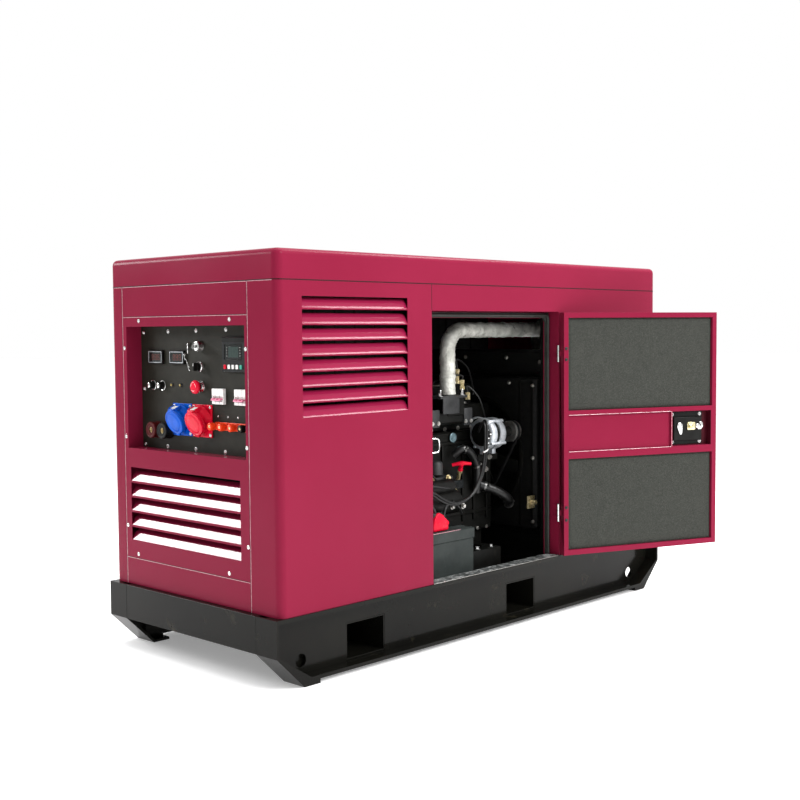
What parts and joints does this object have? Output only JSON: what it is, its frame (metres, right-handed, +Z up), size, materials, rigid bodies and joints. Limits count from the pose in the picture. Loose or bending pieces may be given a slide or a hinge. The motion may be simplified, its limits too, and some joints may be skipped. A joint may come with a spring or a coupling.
{
  "type": "engine driven welder",
  "caption": "Canopied diesel welding generator on a fork-lift skid, with a hinged engine door, a recessed control and socket panel at one end and louvred sheet-metal panels.",
  "frame": {"origin": "on the ground under the middle of the bounding box, with the door standing open as at rest", "axes": "+X along the length from the control end to the radiator end, +Y towards the closed rear side, +Z up"},
  "size_m": [1.94, 1.1026, 1.227],
  "materials": {
    "crimson_paint": "gloss crimson powder coat with slight orange peel",
    "black_paint": "gloss black enamel, scuffed on the feet and the sill",
    "panel_black": "satin black panel paint",
    "engine_black": "black painted castings",
    "foam_grey": "speckled grey cloth-faced acoustic foam",
    "seal_rubber": "grey-green extruded rubber",
    "black_plastic": "black moulded plastic",
    "grey_plastic": "dark grey moulded plastic",
    "white_plastic": "white moulded plastic",
    "red_plastic": "red moulded plastic",
    "blue_plastic": "blue moulded plastic",
    "orange_plastic": "orange moulded plastic",
    "brown_plastic": "red-brown moulded plastic",
    "green_plastic": "green moulded plastic",
    "chrome": "bright plated steel",
    "steel": "bare and dull plated steel",
    "aluminium": "cast aluminium",
    "lagging": "wound heat wrap with a silvery face",
    "black_rubber": "black rubber"
  },
  "bodies": {
    "machine": {"alternator_cables": "black_rubber", "base_pan": "black_paint", "battery": "black_plastic", "breaker_1": "white_plastic", "breaker_2": "white_plastic", "charging_alternator": "aluminium", "control_box": "crimson_paint", "control_plate": "panel_black", "controller_module": "grey_plastic", "cylinder_head": "engine_black", "door_frame": "crimson_paint", "door_seal": "seal_rubber", "drive_belt": "black_rubber", "end_frame_left": "crimson_paint", "end_panel_left": "crimson_paint", "end_panel_right": "crimson_paint", "engine_block": "engine_black", "exhaust_pipe": "lagging", "fork_pocket_left": "black_paint", "fork_pocket_right": "black_paint", "fuel_tank": "black_plastic", "muffler": "steel", "output_terminals": "orange_plastic", "radiator": "engine_black", "rear_panel": "crimson_paint", "roof_cover": "crimson_paint", "side_panel_front_left": "crimson_paint", "side_panel_front_right": "crimson_paint", "skid_rail_front": "black_paint", "skid_rail_rear": "black_paint", "socket_blue": "blue_plastic", "socket_red": "red_plastic", "starter_motor": "engine_black", "weld_socket_negative": "black_plastic", "weld_socket_positive": "brown_plastic", "welding_generator": "engine_black"},
    "door": {"door_shell": "crimson_paint", "door_foam_upper": "foam_grey", "door_foam_lower": "foam_grey", "latch_plate": "black_plastic"},
    "latch_paddle": {"latch_paddle": "black_plastic"},
    "latch_lever": {"latch_lever": "chrome"},
    "ignition_key": {"ignition_key": "chrome"},
    "selector_knob": {"selector_knob": "black_plastic"},
    "estop_button": {"estop_button": "red_plastic"},
    "adjuster_knob_1": {"adjuster_knob_1": "black_plastic"},
    "adjuster_knob_2": {"adjuster_knob_2": "black_plastic"},
    "breaker_toggle_1": {"breaker_toggle_1": "white_plastic"},
    "breaker_toggle_2": {"breaker_toggle_2": "white_plastic"},
    "socket_blue_lid": {"socket_blue_lid": "blue_plastic"},
    "socket_red_lid": {"socket_red_lid": "red_plastic"},
    "controller_button_1": {"controller_button_1": "red_plastic"},
    "controller_button_2": {"controller_button_2": "white_plastic"},
    "controller_button_3": {"controller_button_3": "white_plastic"},
    "controller_button_4": {"controller_button_4": "white_plastic"},
    "controller_button_5": {"controller_button_5": "green_plastic"},
    "dipstick": {"dipstick": "red_plastic"},
    "crank_pulley": {"crank_pulley": "steel"},
    "cooling_fan": {"cooling_fan": "black_plastic"},
    "alternator_pulley": {"alternator_pulley": "steel"}
  },
  "joints": [
    {"name": "door_hinge", "type": "hinge", "parent": "machine", "child": "door", "pos_m": [0.325, -0.26517, 0.605], "axis": [0, 0, 1], "range_deg": [-156.5, 8]},
    {"name": "latch_paddle_hinge", "type": "hinge", "parent": "door", "child": "latch_paddle", "pos_m": [0.80686, -0.4736, 0.6795], "axis": [0.9171, -0.3987, 0], "range_deg": [0, 35], "stiffness_Nm_per_rad": 0.6, "springref_deg": -17.19},
    {"name": "latch_lever_pivot", "type": "hinge", "parent": "door", "child": "latch_lever", "pos_m": [0.77081, -0.47875, 0.641], "axis": [-0.3987, -0.9171, 0], "range_deg": [0, 30]},
    {"name": "ignition_key_turn", "type": "hinge", "parent": "machine", "child": "ignition_key", "pos_m": [-0.895, 0.15133, 0.956], "axis": [1, 0, 0], "range_deg": [0, 90]},
    {"name": "selector_turn", "type": "hinge", "parent": "machine", "child": "selector_knob", "pos_m": [-0.895, 0.15133, 0.895], "axis": [-1, 0, 0], "range_deg": [-45, 45]},
    {"name": "estop_press", "type": "slide", "parent": "machine", "child": "estop_button", "axis": [1, 0, 0], "range_m": [0, 0.006]},
    {"name": "adjuster_knob_1_turn", "type": "hinge", "parent": "machine", "child": "adjuster_knob_1", "pos_m": [-0.895, 0.39833, 0.834], "axis": [-1, 0, 0], "range_deg": [-135, 135]},
    {"name": "adjuster_knob_2_turn", "type": "hinge", "parent": "machine", "child": "adjuster_knob_2", "pos_m": [-0.895, 0.34833, 0.834], "axis": [-1, 0, 0], "range_deg": [-135, 135]},
    {"name": "breaker_toggle_1_throw", "type": "hinge", "parent": "machine", "child": "breaker_toggle_1", "pos_m": [-0.8995, 0.06133, 0.802], "axis": [0, 1, 0], "range_deg": [-25, 25]},
    {"name": "breaker_toggle_2_throw", "type": "hinge", "parent": "machine", "child": "breaker_toggle_2", "pos_m": [-0.8995, -0.04367, 0.802], "axis": [0, 1, 0], "range_deg": [-25, 25]},
    {"name": "socket_blue_lid_hinge", "type": "hinge", "parent": "machine", "child": "socket_blue_lid", "pos_m": [-0.93999, 0.24333, 0.76466], "axis": [0, 1, 0], "range_deg": [0, 100], "stiffness_Nm_per_rad": 0.03, "springref_deg": -34.38},
    {"name": "socket_red_lid_hinge", "type": "hinge", "parent": "machine", "child": "socket_red_lid", "pos_m": [-0.93999, 0.14533, 0.76466], "axis": [0, 1, 0], "range_deg": [0, 100], "stiffness_Nm_per_rad": 0.03, "springref_deg": -34.38},
    {"name": "controller_button_1_press", "type": "slide", "parent": "machine", "child": "controller_button_1", "axis": [1, 0, 0], "range_m": [0, 0.0012], "stiffness_N_per_m": 250, "springref_m": -0.0005},
    {"name": "controller_button_2_press", "type": "slide", "parent": "machine", "child": "controller_button_2", "axis": [1, 0, 0], "range_m": [0, 0.0012], "stiffness_N_per_m": 250, "springref_m": -0.0005},
    {"name": "controller_button_3_press", "type": "slide", "parent": "machine", "child": "controller_button_3", "axis": [1, 0, 0], "range_m": [0, 0.0012], "stiffness_N_per_m": 250, "springref_m": -0.0005},
    {"name": "controller_button_4_press", "type": "slide", "parent": "machine", "child": "controller_button_4", "axis": [1, 0, 0], "range_m": [0, 0.0012], "stiffness_N_per_m": 250, "springref_m": -0.0005},
    {"name": "controller_button_5_press", "type": "slide", "parent": "machine", "child": "controller_button_5", "axis": [1, 0, 0], "range_m": [0, 0.0012], "stiffness_N_per_m": 250, "springref_m": -0.0005},
    {"name": "dipstick_pull", "type": "slide", "parent": "machine", "child": "dipstick", "axis": [-0.3469, -0.5451, 0.7632], "range_m": [0, 0.12]},
    {"name": "crank_spin", "type": "hinge", "parent": "machine", "child": "crank_pulley", "pos_m": [0.2845, 0.14133, 0.355], "axis": [1, 0, 0], "continuous": true},
    {"name": "fan_spin", "type": "hinge", "parent": "machine", "child": "cooling_fan", "pos_m": [0.2845, 0.14133, 0.535], "axis": [1, 0, 0], "continuous": true},
    {"name": "alternator_spin", "type": "hinge", "parent": "machine", "child": "alternator_pulley", "pos_m": [0.2845, -0.07567, 0.635], "axis": [1, 0, 0], "continuous": true}
  ],
  "couplings": [
    {"joint": "latch_lever_pivot", "follows": "latch_paddle_hinge", "ratio": 0.8571},
    {"joint": "fan_spin", "follows": "crank_spin", "ratio": 1.5},
    {"joint": "alternator_spin", "follows": "crank_spin", "ratio": 2.3438}
  ]
}
